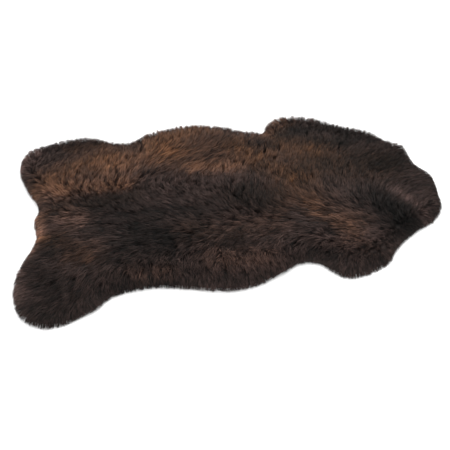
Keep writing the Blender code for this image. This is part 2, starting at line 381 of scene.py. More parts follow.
# %% How deep the wool is
LEAST_DEPTH = 10 * MM
TINY = 1e-9
solid_tree = BVHTree.FromObject(solid, bpy.context.evaluated_depsgraph_get())


def wool_depth(points):
    """The height of the solid's top over each point of the floor, and a least depth outside it."""
    depths = []
    for x, y in points:
        hit = solid_tree.ray_cast(Vector((x, y, 1.0)), Vector((0, 0, -1)))[0]
        depths.append(max(hit.z, LEAST_DEPTH) if hit else LEAST_DEPTH)
    return np.array(depths)


def way_to_outline(points, start=hide_outline):
    """Each point's distance to an outline, less than 0 outside it, and the way straight out of it."""
    step = np.roll(start, -1, axis=0) - start
    from_start = points[:, None, :] - start[None]
    share = np.clip((from_start * step).sum(-1) / (step * step).sum(-1), 0, 1)
    away = from_start - share[..., None] * step
    distances = np.linalg.norm(away, axis=-1)
    nearest = distances.argmin(1)
    rows = np.arange(len(points))
    level_with = (start[:, 1] > points[:, 1:2]) != (np.roll(start[:, 1], -1) > points[:, 1:2])
    height = np.where(np.abs(step[:, 1]) > TINY, step[:, 1], TINY)
    crossing = start[:, 0] + (points[:, 1:2] - start[:, 1]) * step[:, 0] / height
    inside = ((crossing > points[:, :1]) & level_with).sum(1) % 2 == 1
    distance = distances[rows, nearest] * np.where(inside, 1, -1)
    out = away[rows, nearest] * np.where(inside, -1, 1)[:, None]
    return distance, out / np.maximum(np.linalg.norm(out, axis=1, keepdims=True), TINY)


print(f"the wool is {wool_depth([(0, 0)])[0] / MM:.0f} mm deep in the middle")

# %% [markdown]
# ## Where the wool is lighter, darker and warmer
#
# A brown fleece is never one brown. The sun bleaches the tips along the back to a reddish brown, and the
# legs stay nearly black. The same rows also paint light and shade into the wool: the dark rows in hollows,
# pits, valleys, folds and armpits, under the rims and on the far foreleg are painted shade, and the pale
# rows along ridges, rolled rims and edges are painted highlights. Such patches could be painted on an image;
# a few rows in a table are easier to change. A row is a streak from one place to another, in centimetres,
# with how far it reaches to its sides and two words for its wool. The first says how light it is, in stops,
# as on a camera: 1 is twice as light. The second says how warm it is, from 0, a cold dark brown, to 1, a
# reddish one. Streaks that overlap add up.

# %% Where the wool is lighter, darker and warmer
LIGHTNESS = {
    "black": -2.1, "darker": -1.6, "dark": -1.1, "dusky": -0.6, "usual": 0.0,
    "fair": 0.4, "light": 0.8, "lighter": 1.2, "pale": 1.6, "bleached": 2.5,
}
WARMTH = {"cold": -0.4, "neutral": 0.0, "brown": 0.2, "chestnut": 0.45, "russet": 0.7}
PATCHES = (
    # name, from along, out, to along, out, reach, lightness, warmth
    # dark rows in hollows, pits, valleys, folds, armpits, under the rims and on the far foreleg are painted
    # shade; pale rows on ridges, rolls, rims and edges are painted highlights
    ("far thigh", -45, 14, -32, 20, 6, "fair", "russet"),
    ("far loin streak", -30, 13, -18, 18, 5, "light", "chestnut"),
    ("far flank rim", -18, 25, -2, 29, 5, "fair", "russet"),
    ("far flank", -16, 17, 4, 17, 6, "fair", "chestnut"),
    ("shoulder spikes", 4, 18, 9, 12, 5, "usual", "chestnut"),
    ("feet of the spikes", 8, 8, 16, 4, 4, "usual", "chestnut"),
    ("smooth shoulder", 16, 18, 26, 14, 6, "fair", "russet"),
    ("neck side", 24, 6, 38, 4, 7, "dark", "chestnut"),
    ("curl", 14, 0, 20, -8, 5, "usual", "chestnut"),
    ("near shoulder", 22, -14, 30, -20, 5, "light", "chestnut"),
    ("tail", -41, -2, -36, -4, 3, "pale", "brown"),
    ("tail tip", -48, 2, -47.5, -7, 2, "bleached", "chestnut"),
    ("tail side", -49, 10, -42, 5, 3, "light", "brown"),
    ("near belly", -8, -21, 3, -23, 3.5, "light", "brown"),
    ("far foreleg rim", 16, 25, 22, 30, 3.5, "lighter", "chestnut"),
    ("far neck rim", 30, 24, 43, 17, 4, "dark", "neutral"),
    ("below the far hind rim, front", -42, 27, -34, 27, 2.5, "dusky", "chestnut"),
    ("tail valley", -46, 1, -24, 2.5, 2.5, "dark", "brown"),
    ("croup", -32, -2, -22, -10, 6, "dark", "neutral"),
    ("near loin spot", -23, -12, -17, -14, 3.5, "dark", "neutral"),
    ("near loin", -31, -16, -23, -20, 4, "dusky", "neutral"),
    ("near hind leg", -48, -19, -43, -24, 4, "dark", "neutral"),
    ("near hind foot", -50, -30, -40, -35, 5, "dusky", "neutral"),
    ("saddle", 2, -3, 8, -6, 4, "darker", "brown"),
    ("saddle spot", -10, -8, -9, -11, 2.5, "dusky", "neutral"),
    ("saddle side", -20, -5, -5, -7, 2.5, "dark", "neutral"),
    ("near back", -17, -15, -8, -13.5, 2.5, "dark", "neutral"),
    ("far armpit", 9, 18, 13, 18, 2.5, "darker", "cold"),
    ("far foreleg", 19, 21, 24, 26, 4, "black", "neutral"),
    ("neck pit", 41, 4.5, 47, 6, 3.5, "darker", "brown"),
    ("neck hollow", 35, -9, 39, -20, 3.5, "dark", "neutral"),
    ("foreleg fold", 18, -12, 21, -18, 2.5, "dusky", "cold"),
    ("near shoulder foot", 18, -22, 24, -23.5, 3, "light", "neutral"),
    ("below the tail pit", -44, -12, -38, -13, 2.5, "dark", "neutral"),
    ("tail ridge", -42, 8.5, -27, 7.5, 2, "lighter", "chestnut"),
    ("far hind roll", -54, 22, -52, 27, 2, "pale", "neutral"),
    ("streak below the tail", -38, -13.5, -34, -14.5, 3, "light", "chestnut"),
    ("below the tail tuft", -46, -8, -41, -8.5, 2.5, "dusky", "chestnut"),
    ("tail corner", -49, -11, -50, -14, 2, "pale", "brown"),
    ("near hind leg edge", -52, -18, -51, -25, 2.5, "pale", "neutral"),
    ("hind belly light", -26, -22.5, -20, -23, 2.5, "light", "brown"),
    ("belly spot", -4, -18, 0, -17, 2.5, "dark", "neutral"),
    ("beside the spine", -11, 11, 1, 9, 3, "lighter", "chestnut"),
    ("shoulder hollow", 26, 17.5, 34, 15.5, 3, "darker", "neutral"),
    ("neck end hollow", 38, -12.5, 41.5, -17, 3, "dark", "neutral"),
    ("near foreleg hollow", 31, -22, 35, -20.5, 2.5, "usual", "cold"),
    ("behind the curl", 12.5, -5, 13, -11, 2, "dusky", "brown"),
    ("beside the saddle", -12, -13, 12, -14, 3, "fair", "brown"),
    ("near hind armpit rim", -30, -27, -20, -27.5, 2.5, "black", "neutral"),
    ("black of the neck", 37.5, -10, 41, -17.5, 3, "dusky", "cold"),
    ("neck ridge", 41, -7, 45.5, -17.5, 1.3, "pale", "neutral"),
    ("foreleg armpit", 16.5, -22.5, 18.5, -25, 2.5, "dark", "neutral"),
    ("tips of the step", 18, 1, 20.5, 0.5, 2.5, "fair", "chestnut"),
    ("far foreleg front", 25, 28.5, 30, 28, 2.5, "fair", "neutral"),
)

USUAL_TONE = 0.35


def near_streak(points, from_along, from_out, to_along, to_out, reach):
    """How strongly each point, in metres, feels a streak, in cm: 1 on it, and smoothly less beside it."""
    start = np.array((from_along, from_out)) * CM
    step = np.array((to_along, to_out)) * CM - start
    share = np.clip(((points - start) @ step) / max(step @ step, TINY), 0, 1)
    distance = np.linalg.norm(points - start - share[:, None] * step, axis=1)
    return np.exp(-((distance / (reach * CM)) ** 2))


def patch_values(points):
    """The tone in stops, painted light and shade included, and the warmth from 0 to 1 of the wool at each
    point.
    """
    tone = np.full(len(points), USUAL_TONE)
    warmth = np.zeros(len(points))
    for _, *streak, how_light, how_warm in PATCHES:
        felt = near_streak(points, *streak)
        tone += LIGHTNESS[how_light] * felt
        warmth += WARMTH[how_warm] * felt
    return tone, np.clip(warmth, 0, 1)


print("charted", len(PATCHES), "patches of colour")

# %% [markdown]
# ## Which way the wool lies
#
# Wool leans the way it was last brushed or lain on, and at the rim it falls outwards to the floor. A lean
# is a vector along the floor, as long as the tangent of the angle from upright, so 1 leans by 45 degrees.
# Calm wool, 1, lies smooth, 0 is tousled, and less than 0 is wilder still. Where two leans part quickly the
# roots show as a dark line, so neighbours differ by little unless such a line is wanted.
#
# Near the outline the rim's own rule takes over. Its table says where the rim's wool is longer or shorter
# than usual, and where it stands up, from 0 to 1, instead of hanging to the floor.

# %% Which way the wool lies
LEANS = (
    # name, from along, out, to along, out, reach, lean along, lean out, calm
    ("tail", -50, -3, -36, -6, 5, -1.8, -0.7, 0.3),
    ("tail side", -50, 4, -44, 8, 4, -0.9, 0.2, 0.0),
    ("below the tail", -46, -13, -36, -16, 5, -1.4, -1.4, 0.3),
    ("far hind leg", -52, 20, -36, 28, 6, 0.9, 0.2, 0.8),
    ("far thigh", -42, 15, -30, 16, 6, 0.2, 0.5, 0.0),
    ("far loin", -27, 17, -23, 17, 5, 0.3, 0.4, 0.1),
    ("far loin streaks", -21, 12, -16, 18, 5, 1.0, 0.5, 0.3),
    ("far flank", -12, 15, 0, 18, 6, 1.6, 0.3, 0.4),
    ("far flank rim", -16, 26, 4, 25, 5, 0.3, 0.7, 0.4),
    ("croup", -30, -4, -22, -8, 7, -0.6, 0.1, 0.5),
    ("saddle", -18, -2, -6, -4, 6, -0.9, 0.2, 0.4),
    ("shoulder step", 6, 16, 13, 0, 6, 0.2, 0.8, -0.5),
    ("smooth shoulder", 22, 17, 30, -2, 9, 0.3, 0.9, 0.9),
    ("back", 2, 2, 8, -2, 5, 0.2, 0.4, 0.2),
    ("beside the saddle", -31, -14, 12, -15, 6, -1.2, -0.2, 0.1),
    ("curl", 14, -6, 19, -11, 5, -0.6, 0.4, 0.1),
    ("near shoulder", 22, -13, 34, -19, 8, -1.5, 0.1, 0.5),
    ("neck", 40, 12, 48, -1, 7, 1.1, 0.4, 0.9),
    ("neck end", 49, -1, 53, -6, 5, 1.4, -0.2, 0.8),
    ("neck hollow", 42, -9, 40, -18, 5, 0.7, 0.2, 0.9),
    ("near armpit", 10, -18, 16, -23, 5, -0.8, -0.3, 0.2),
    ("near belly", -24, -27, 6, -28, 11, -0.1, -2.0, 0.0),
    ("near thigh", -38, -24, -32, -26, 6, -0.6, -1.3, 0.2),
    ("near foreleg", 20, -31, 30, -33, 5, -0.9, -1.6, 0.5),
    ("near hind leg", -50, -24, -44, -31, 6, -1.6, -1.0, 0.6),
)
RIM_WOOL = (
    # name, from along, out, to along, out, reach, mm longer, stands
    ("far hind foot", -56, 24, -55, 17, 4, -5, 0.0),
    ("far hind leg", -50, 27, -36, 30, 5, -8, 0.6),
    ("far loin", -32, 26, -24, 25, 4, 1, 0.2),
    ("far flank", -18, 28, 2, 28, 5, -1, 0.5),
    ("far spikes", 7, 25, 12, 24, 3, 1, 0.5),
    ("far armpit", 14.5, 28, 17, 25, 3.5, -18, 0.0),
    ("far foreleg", 20, 29, 27, 28, 5, 6, 0.6),
    ("far neck", 33, 24, 44, 16, 5, 4, 0.5),
    ("far neck corner", 50, 12, 54, 3, 3, 8, 0.3),
    ("neck end", 54, -5, 50, -13, 4, -8, 0.0),
    ("tail", -51, 1, -51, -3, 2.5, 6, 0.0),
    ("above the tail", -50, 7, -49, 5, 3, -8, 0.0),
    ("below the tail", -50, -7, -50, -10, 3, -8, 0.0),
    ("near hind armpit", -38, -31, -24, -31, 4, -9, 0.0),
    ("near belly", -18, -34, 0, -34, 4, -6, 0.0),
    ("near armpit", 6, -29, 15, -28, 4, -12, 0.0),
    ("near neck corner", 34, -26, 42, -20, 4, -10, 0.0),
    ("near hind leg", -50, -37, -40, -38, 4, 0, 0.0),
    ("near foreleg", 17, -35, 24, -35, 4, -1, 0.0),
)
RIM_REACH = 36 * MM
RIM_START = 22 * MM
RIM_LEAN = 2.4
STANDING_LEAN = 0.4
RIM_DROOP = 2.4
RIM_RISE = 1.0
RIM_CALM = 0.7
RIM_WOOL_LENGTH = 24 * MM
RIM_TIPS = 38 * MM
WILDEST = -0.5


def at_rim(distance):
    """How much a place some distance inside the hide's outline feels the rim, from 0 to 1 well outside."""
    return np.clip(1 - (distance + RIM_START) / RIM_REACH, 0, 1)


def share_that_stands(points):
    """How much of the rim's wool stands up at each point instead of hanging to the floor, from 0 to 1."""
    stands = np.zeros(len(points))
    for _, *streak, _, share in RIM_WOOL:
        stands += share * near_streak(points, *streak)
    return np.clip(stands, 0, 1)


def lie_of_wool(points):
    """Each point's lean, how calm its wool is, how much it belongs to the rim, and the rim wool's length."""
    lean = np.zeros((len(points), 3))
    calm = np.zeros(len(points))
    for _, *streak, along, out, calmness in LEANS:
        felt = near_streak(points, *streak)
        lean[:, :2] += felt[:, None] * np.array((along, out))
        calm += felt * calmness
    distance, outward = way_to_outline(points)
    rim = at_rim(distance)
    rim_length = np.minimum(RIM_WOOL_LENGTH, RIM_TIPS + distance)
    for _, *streak, longer, _ in RIM_WOOL:
        rim_length += longer * MM * near_streak(points, *streak)
    hangs = 1 - share_that_stands(points)
    rim_lean = RIM_LEAN * rim * (STANDING_LEAN + (1 - STANDING_LEAN) * hangs)
    lean[:, :2] = lean[:, :2] * (1 - rim)[:, None] + outward * rim_lean[:, None]
    lean[:, 2] = -RIM_DROOP * rim**2 * hangs + RIM_RISE * rim * (1 - hangs)
    calm = np.clip(calm + RIM_CALM * rim, WILDEST, 1)
    return lean, calm, rim, rim_length


print("charted", len(LEANS), "leans of the wool and", len(RIM_WOOL), "stretches of its rim")

# %% [markdown]
# ## The underwool
#
# Between the locks one doesn't see the hide but a felt of short fine wool. A smooth low mound does for it.
# The mound follows the solid's top at two fifths of its height, bulges over the hide's edge, is raised
# where the rim's wool stands, and its faces are where the locks take root. Its points are strewn on an
# uneven grid and joined by a Delaunay triangulation, which gives even triangles in any outline. An outline
# spread in one go would knot in the armpits, so it's spread in small steps and eased after each. The wall
# below is built face by face in the outline's order: the order of faces decides their random roots, and an
# extrusion changes it with every run.

# %% The underwool
UNDERWOOL_SHARE = 0.42
UNDERWOOL_RIM_SHARE = 0.66
UNDERWOOL_SPACING = 9 * MM
UNDERWOOL_SPREAD = 23 * MM
SPREAD_STEPS = 12
SPREAD_EASE = 0.12
UNDERWOOL_RIM_HEIGHT = 10 * MM
UNDERWOOL_STANDS = 16 * MM
UNDERWOOL_WALL_FOOT = 4 * MM
UNDERWOOL_FOOT = 1.9 * MM
UNDERWOOL_FOOT_INWARDS = 1.25 * UNDERWOOL_SPREAD
STREW = 0.25
FREE_BESIDE_RING = 0.4
UNDERWOOL_SEED = 3


def spread_ring(ring, distance):
    """The outline moved outwards in small steps, each eased between neighbours."""
    for _ in range(SPREAD_STEPS):
        tangent = np.roll(ring, -1, axis=0) - np.roll(ring, 1, axis=0)
        outward = np.stack((tangent[:, 1], -tangent[:, 0]), axis=1)
        ring = ring + distance / SPREAD_STEPS * outward / np.linalg.norm(outward, axis=1, keepdims=True)
        between = (np.roll(ring, -1, axis=0) + np.roll(ring, 1, axis=0)) / 2
        ring = ring + SPREAD_EASE * (between - ring)
    return ring


def strewn_points(ring):
    """Points inside an outline on a grid, each moved a little at random."""
    rng = np.random.default_rng(UNDERWOOL_SEED)
    low = ring.min(0)
    high = ring.max(0)
    along = np.arange(low[0], high[0], UNDERWOOL_SPACING)
    out = np.arange(low[1], high[1], UNDERWOOL_SPACING)
    grid = np.stack(np.meshgrid(along, out), axis=-1).reshape(-1, 2)
    grid += rng.uniform(-STREW, STREW, grid.shape) * UNDERWOOL_SPACING
    return grid[way_to_outline(grid, ring)[0] > FREE_BESIDE_RING * UNDERWOOL_SPACING]


def joined_inside(ring, points):
    """The places and triangles that join a ring and the points in it."""
    places = [Vector(p) for p in np.concatenate((ring, points))]
    edges = [(i, (i + 1) % len(ring)) for i in range(len(ring))]
    places, _, faces, *_ = delaunay_2d_cdt(places, edges, [], 0, MERGE)
    places = np.array([p[:] for p in places])
    faces = np.array([f[:] for f in faces])
    inside = way_to_outline(places[faces].mean(1), ring)[0] > 0
    return places, faces[inside]


def skirt_below(bm, ring, drop_to, inwards):
    """A wall from a ring of vertices down to a height and inwards by a distance, and the ring at its foot."""
    ways = way_to_outline(np.array([vert.co.xy[:] for vert in ring]))[1]
    foot = [bm.verts.new((*(vert.co.xy - Vector(way) * inwards), drop_to)) for vert, way in zip(ring, ways)]
    for i in range(len(ring)):
        bm.faces.new((ring[i], ring[i - 1], foot[i - 1], foot[i]))
    return foot


def model_underwool():
    """The low mound of underwool, closed by a wall at its rim and a foot that stands on the hide."""
    ring = spread_ring(hide_outline, UNDERWOOL_SPREAD)
    places, faces = joined_inside(ring, strewn_points(ring))
    rim = at_rim(way_to_outline(places)[0])
    share = UNDERWOOL_SHARE + (UNDERWOOL_RIM_SHARE - UNDERWOOL_SHARE) * rim
    heights = np.maximum(wool_depth(places) * share, UNDERWOOL_RIM_HEIGHT)
    heights += UNDERWOOL_STANDS * rim * share_that_stands(places)
    bm = bmesh.new()
    verts = [bm.verts.new((x, y, z)) for (x, y), z in zip(places, heights)]
    for a, b, c in faces:
        bm.faces.new((verts[a], verts[b], verts[c]))
    bmesh.ops.delete(bm, geom=[v for v in bm.verts if not v.link_faces], context="VERTS")
    wall_foot = skirt_below(bm, verts[:len(ring)], UNDERWOOL_WALL_FOOT, 0.0)
    foot = skirt_below(bm, wall_foot, UNDERWOOL_FOOT, UNDERWOOL_FOOT_INWARDS)
    bottom = bm.faces.new(foot[::-1])
    bmesh.ops.triangulate(bm, faces=[bottom], ngon_method="EAR_CLIP")
    bmesh.ops.recalc_face_normals(bm, faces=bm.faces)
    return bm


def store(mesh, name, values):
    """Keeps one number or vector for each point of a mesh, under a name that nodes can read."""
    kind, field = ("FLOAT", "value") if values.ndim == 1 else ("FLOAT_VECTOR", "vector")
    attribute = mesh.attributes.new(name, kind, "POINT")
    attribute.data.foreach_set(field, values.astype(np.float32).ravel())


def make_underwool():
    """The underwool's object, with the colour and the lie of the wool kept on its points."""
    mesh = mesh_from(model_underwool(), "underwool")
    places = np.array([vert.co.xy[:] for vert in mesh.vertices])
    kept = (*patch_values(places), *lie_of_wool(places))
    for name, values in zip(("tone", "warmth", "lean", "calm", "rim", "rim length"), kept):
        store(mesh, name, values)
    mesh.shade_smooth()
    return show("underwool", mesh)


underwool = make_underwool()
print("the underwool has", len(underwool.data.polygons), "faces")

# %% [markdown]
# ## The colour of wool
#
# Each lock is darkest at its root and lightest and warmest at its tip. The sun never bleaches the root, and
# its dark is also painted shade, for the shade deep in the pile. Locks differ a little from each other, and
# the charted patches make them lighter or warmer. A little grey is added last, a painted sheen for the
# fibres' neutral shine, which shows only where the brown is dark. One node group mixes this for both wool
# materials, each with its own values. It puts out only the colour; the shader stays in the material.

# %% The colour of wool
COLD_BROWN = (0.034, 0.0209, 0.0182, 1.0)
WARM_BROWN = (0.064, 0.0281, 0.0124, 1.0)
PAINTED_SHEEN_GREY = (0.0074, 0.0089, 0.0087)
LEAST_SUN = 0.25
SUN_OF_TIPS = 0.5
SUN_OF_LIGHT_LOCKS = 0.5
DARKEST_LOCK = 0.15
LIGHTEST_LOCK = 1.95
COLOUR_INPUTS = {"From Root": 1.0, "Shade": 0.5, "Root Light": 0.3, "Tip Light": 1.3}


def make_wool_colour():
    """The node group for the colour of wool, from its place between root and tip and its own shade."""
    tree = bpy.data.node_groups.new("wool colour", "ShaderNodeTree")
    for name, start in COLOUR_INPUTS.items():
        socket = tree.interface.new_socket(name, in_out="INPUT", socket_type="NodeSocketFloat")
        socket.default_value = start
    tree.interface.new_socket("Color", in_out="OUTPUT", socket_type="NodeSocketColor")
    given = add(tree, "NodeGroupInput").outputs
    tone = add(tree, "ShaderNodeAttribute", attribute_name="tone").outputs["Fac"]
    warmth = add(tree, "ShaderNodeAttribute", attribute_name="warmth").outputs["Fac"]
    sun = maths(tree, "MULTIPLY_ADD", given["Shade"], SUN_OF_LIGHT_LOCKS, LEAST_SUN)
    sun = maths(tree, "MULTIPLY_ADD", given["From Root"], SUN_OF_TIPS, sun)
    brown = mix(tree, "RGBA", maths(tree, "MULTIPLY", warmth, sun), COLD_BROWN, WARM_BROWN)
    patch = maths(tree, "POWER", 2.0, tone)
    own = spread_over(tree, given["Shade"], DARKEST_LOCK, LIGHTEST_LOCK)
    # The rise from root to tip is partly painted shade: a dark root stands for the shade deep in the pile.
    rise = spread_over(tree, given["From Root"], given["Root Light"], given["Tip Light"])
    light = maths(tree, "MULTIPLY", maths(tree, "MULTIPLY", patch, own), rise)
    # The grey is a painted sheen, the neutral shine of the fibres, added to the colour.
    tinted = vectors(tree, "ADD", scaled(tree, brown, light), PAINTED_SHEEN_GREY)
    add(tree, "NodeGroupOutput", {"Color": tinted})
    return tree


wool_colour = make_wool_colour()
print("made the group", wool_colour.name)

# %% [markdown]
# ## The two wool materials
#
# A lock's UV map runs from its root, 0, to its tip, 1. Sideways it goes once round the first strand, from 0
# to 1, then round the second, from 1 to 2, and so on. A noise over that, pushed on by the lock's own shade,
# makes some strands lighter than their neighbours, as sunned wool is. A usual shine would drown the colour
# of wool this dark, so the shine is kept low. The underwool's fibres are a fine noise in its height and
# colour.

# %% The two wool materials
FIBRE_ROUGHNESS = 0.6
FELT_ROUGHNESS = 0.9
FIBRE_SHINE = 0.08
STRAND_SPREAD = 2.4
STRAND_STRETCH = (1.3, 0.9, 1)
PUSH_BY_SHADE = 40.0
FIBRE_STRETCH = (30, 3, 1)
FIBRE_DEPTH = 0.3 * MM
FELT_PER_METRE = 320.0
FELT_DEPTH = 1.5 * MM


def coloured_wool(tree, shader, **inputs):
    """Gives a shader the colour of wool, from the group's inputs, with _ for a space in their names."""
    inputs = {name.replace("_", " "): source for name, source in inputs.items()}
    group = add(tree, "ShaderNodeGroup", inputs, node_tree=wool_colour)
    feed(tree, shader.inputs["Base Color"], group.outputs["Color"])


def make_lock_material():
    """Wool for the locks: dark at the root, streaked with fibres, lighter at the tip."""
    material, tree, shader = new_material(
        "dark brown wool", Roughness=FIBRE_ROUGHNESS, Specular_IOR_Level=FIBRE_SHINE
    )
    uv = result(tree, "ShaderNodeUVMap", uv_map="UVMap")
    shade = add(tree, "ShaderNodeAttribute", attribute_name="shade").outputs["Fac"]
    push = result(tree, "ShaderNodeCombineXYZ", {"Z": maths(tree, "MULTIPLY", shade, PUSH_BY_SHADE)})
    strands = add(tree, "ShaderNodeMapping", {"Vector": uv, "Scale": STRAND_STRETCH, "Location": push})
    sunned = maths(tree, "SUBTRACT", noise(tree, strands.outputs[0], scale=1.0, detail=1.0), 0.5)
    mixed = maths(tree, "MULTIPLY_ADD", sunned, STRAND_SPREAD, shade)
    from_root = axis_of(tree, uv, "Y")
    # The lock's dark root is partly painted shade, for the shade deep in the pile.
    coloured_wool(tree, shader, From_Root=from_root, Shade=mixed, Root_Light=0.25, Tip_Light=1.35)
    fibres = add(tree, "ShaderNodeMapping", {"Vector": uv, "Scale": FIBRE_STRETCH})
    height = noise(tree, fibres.outputs[0], scale=1.0, detail=2.0)
    bump(tree, shader, height, strength=0.5, depth=FIBRE_DEPTH)
    return material


def make_underwool_material():
    """Short felted wool for the mound under the locks."""
    material, tree, shader = new_material(
        "underwool", Roughness=FELT_ROUGHNESS, Specular_IOR_Level=FIBRE_SHINE
    )
    place = add(tree, "ShaderNodeTexCoord").outputs["Object"]
    felt = noise(tree, place, FELT_PER_METRE, detail=4.0)
    # The underwool is coloured as a root would be, partly unbleached wool and partly painted shade for the
    # gaps between the locks.
    coloured_wool(tree, shader, From_Root=0.2, Shade=felt, Root_Light=0.3)
    bump(tree, shader, felt, strength=0.8, depth=FELT_DEPTH)
    return material


lock_wool = make_lock_material()
underwool.data.materials.append(make_underwool_material())
print("made", lock_wool.name, "and", underwool.data.materials[0].name)

# %% [markdown]
# ## One lock of wool
#
# Wool grows in locks: a handful of strands that part at the root, wave together and close to a point at the
# tip. Hair curves don't leave Blender as a mesh, so a strand here is a thin three-sided spike of a few
# faces, and a lock is six of them. Eight different locks, turned and stretched, are enough for the eye. A
# lock is one unit tall, so that growing it is only a scale, and its width is in metres.

# %% One lock of wool
LOCK_KINDS = 8
LOCK_SEED = 20
STRANDS_PER_LOCK = 6
STRAND_SIDES = 3
STRAND_RADIUS = 0.74 * MM
ROOT_SPREAD = 3.6 * MM
TIP_SPREAD = 4.2 * MM
LOCK_BEND = 9 * MM
STRAND_WAVE = 1.8 * MM
WAVES_PER_STRAND = 1.1
WAVE_FADES_BELOW = 1 / 3
STRAND_RINGS = (
    # height, share of the strand's radius
    (0.0, 0.85),
    (0.6, 1.0),
)
FULL_TURN = 2 * math.pi
STRAND_CHANCES = {
    # what differs between strands: its lowest and highest value
    "turn": (-0.3, 0.3),
    "root": (0.7, 1.2),
    "tip turn": (-0.8, 0.8),
    "tip": (0.3, 1.7),
    "bend": (0.6, 1.3),
    "bend aside": (-0.25, 0.25),
    "wave turn": (0, FULL_TURN),
    "wave phase": (0, FULL_TURN),
    "height": (0.86, 1.05),
    "radius": (0.8, 1.15),
    "twist": (0, 2),
}


def round_by(turn):
    """The unit vector at a turn, in radians, from X."""
    return np.array((math.cos(turn), math.sin(turn)))


def strand_line(own, turn):
    """A function from height to the middle of one strand of a lock, from what is the strand's own."""
    root = ROOT_SPREAD * own["root"] * round_by(turn)
    tip = TIP_SPREAD * own["tip"] * round_by(turn + own["tip turn"])
    bend = np.array((LOCK_BEND * own["bend"], LOCK_BEND * own["bend aside"]))
    wave = STRAND_WAVE * round_by(own["wave turn"])

    def line(height):
        sway = math.sin(own["wave phase"] + FULL_TURN * WAVES_PER_STRAND * height)
        sway *= min(1, height / WAVE_FADES_BELOW)
        return root * (1 - height) + tip * height + bend * height**2 + wave * sway

    return line


def add_strand(bm, uv_layer, line, own, place):
    """One closed spike along a line, with its UV map from root to tip beside the other strands' maps."""
    rings = []
    for height, share in STRAND_RINGS:
        middle = line(height)
        radius = STRAND_RADIUS * own["radius"] * share
        ring = []
        for side in range(STRAND_SIDES):
            out = radius * round_by(own["twist"] + FULL_TURN * side / STRAND_SIDES)
            ring.append(bm.verts.new((*(middle + out), height * own["height"])))
        rings.append(ring)
    tip = bm.verts.new((*line(1.0), own["height"]))
    heights = [height for height, _ in STRAND_RINGS] + [1.0]
    faces = [(bm.faces.new(rings[0][::-1]), [(place + 0.5, 0.0)] * STRAND_SIDES)]
    for level, ring in enumerate(rings):
        for side in range(STRAND_SIDES):
            after = (side + 1) % STRAND_SIDES
            left = place + side / STRAND_SIDES
            right = place + (side + 1) / STRAND_SIDES
            low, high = heights[level], heights[level + 1]
            if level + 1 < len(rings):
                corners = (ring[side], ring[after], rings[level + 1][after], rings[level + 1][side])
                spots = [(left, low), (right, low), (right, high), (left, high)]
            else:
                corners = (ring[side], ring[after], tip)
                spots = [(left, low), (right, low), ((left + right) / 2, high)]
            faces.append((bm.faces.new(corners), spots))
    for face, spots in faces:
        for loop, spot in zip(face.loops, spots):
            loop[uv_layer].uv = spot


def make_lock(number):
    """One kind of lock, as an object that is only ever copied."""
    rng = np.random.default_rng(LOCK_SEED + number)
    bm = bmesh.new()
    uv_layer = bm.loops.layers.uv.new("UVMap")
    for strand in range(STRANDS_PER_LOCK):
        own = {name: rng.uniform(*limits) for name, limits in STRAND_CHANCES.items()}
        line = strand_line(own, FULL_TURN * (strand + own["turn"]) / STRANDS_PER_LOCK)
        add_strand(bm, uv_layer, line, own, strand)
    mesh = mesh_from(bm, f"lock {number}")
    mesh.shade_smooth()
    return bpy.data.objects.new(f"lock {number}", mesh)


locks = bpy.data.collections.new("kinds of lock")
for number in range(LOCK_KINDS):
    locks.objects.link(make_lock(number))

# %% [markdown]
# ## Growing the wool: roots and leans
#
# Geometry Nodes strew the roots over the underwool, no two closer than a set distance. A root's direction
# starts from the face's normal and adds the charted lean and a little chance. Last, wool sticks together: a
# Voronoi texture cuts the skin into cells, and each root leans to the middle of its cell, so that tips meet
# in staples with dark gaps between. Round cells would look like pebbles, so the place is squeezed before
# the texture reads it, and the cells are three times as long the way the wool lies. Each staple also leans
# a little its own way.

# %% Growing the wool: roots and leans
STAPLE_OVAL = 0.32
LIES_ALONG_BY = 0.3
LOOSE_RISE = 0.3
STAPLES_CALMED = 0.85
LOOSENESS_CALMED = 0.5


def chance(tree, given, seed, low, high):
    """A random number or vector from low to high for each root, with a seed of its own."""
    kind, first, output = ("FLOAT_VECTOR", 0, 0) if isinstance(low, tuple) else ("FLOAT", 2, 1)
    inputs = {first: low, first + 1: high, "Seed": maths(tree, "ADD", given["Seed"], seed)}
    return add(tree, "FunctionNodeRandomValue", inputs, data_type=kind).outputs[output]


def kept(tree, name, kind="FLOAT"):
    """A number or vector that was kept on the points of the underwool."""
    return add(tree, "GeometryNodeInputNamedAttribute", {"Name": name}, data_type=kind).outputs["Attribute"]


def kept_on(tree, geometry, name, value):
    """A geometry with a number kept on each of its points."""
    inputs = {"Geometry": geometry, "Name": name, "Value": value}
    return result(tree, "GeometryNodeStoreNamedAttribute", inputs, data_type="FLOAT", domain="POINT")


def charted_lean(tree):
    """The charted lean that was kept on the points of the underwool."""
    return kept(tree, "lean", "FLOAT_VECTOR")


def less_if_calm(tree, share):
    """A factor that is 1 in tousled wool and less by a share in calm wool."""
    return maths(tree, "MULTIPLY_ADD", kept(tree, "calm"), -share, 1.0)


def place_of(tree):
    """The place of each point."""
    return result(tree, "GeometryNodeInputPosition")


def lean_direction(tree, normal, given, to_staple, staple_lean):
    """The direction in which each lock grows."""
    wild = less_if_calm(tree, STAPLES_CALMED)
    looseness = maths(tree, "MULTIPLY", given["Looseness"], less_if_calm(tree, LOOSENESS_CALMED))
    pushes = (
        (chance(tree, given, 1, (-1, -1, -LOOSE_RISE), (1, 1, LOOSE_RISE)), looseness),
        (to_staple, maths(tree, "MULTIPLY", given["Staple Pull"], wild)),
        (staple_lean, maths(tree, "MULTIPLY", given["Tousle"], wild)),
    )
    way = vectors(tree, "NORMALIZE", vectors(tree, "ADD", normal, charted_lean(tree)))
    for push, strength in pushes:
        way = vectors(tree, "ADD", way, scaled(tree, push, strength))
    return vectors(tree, "NORMALIZE", way)


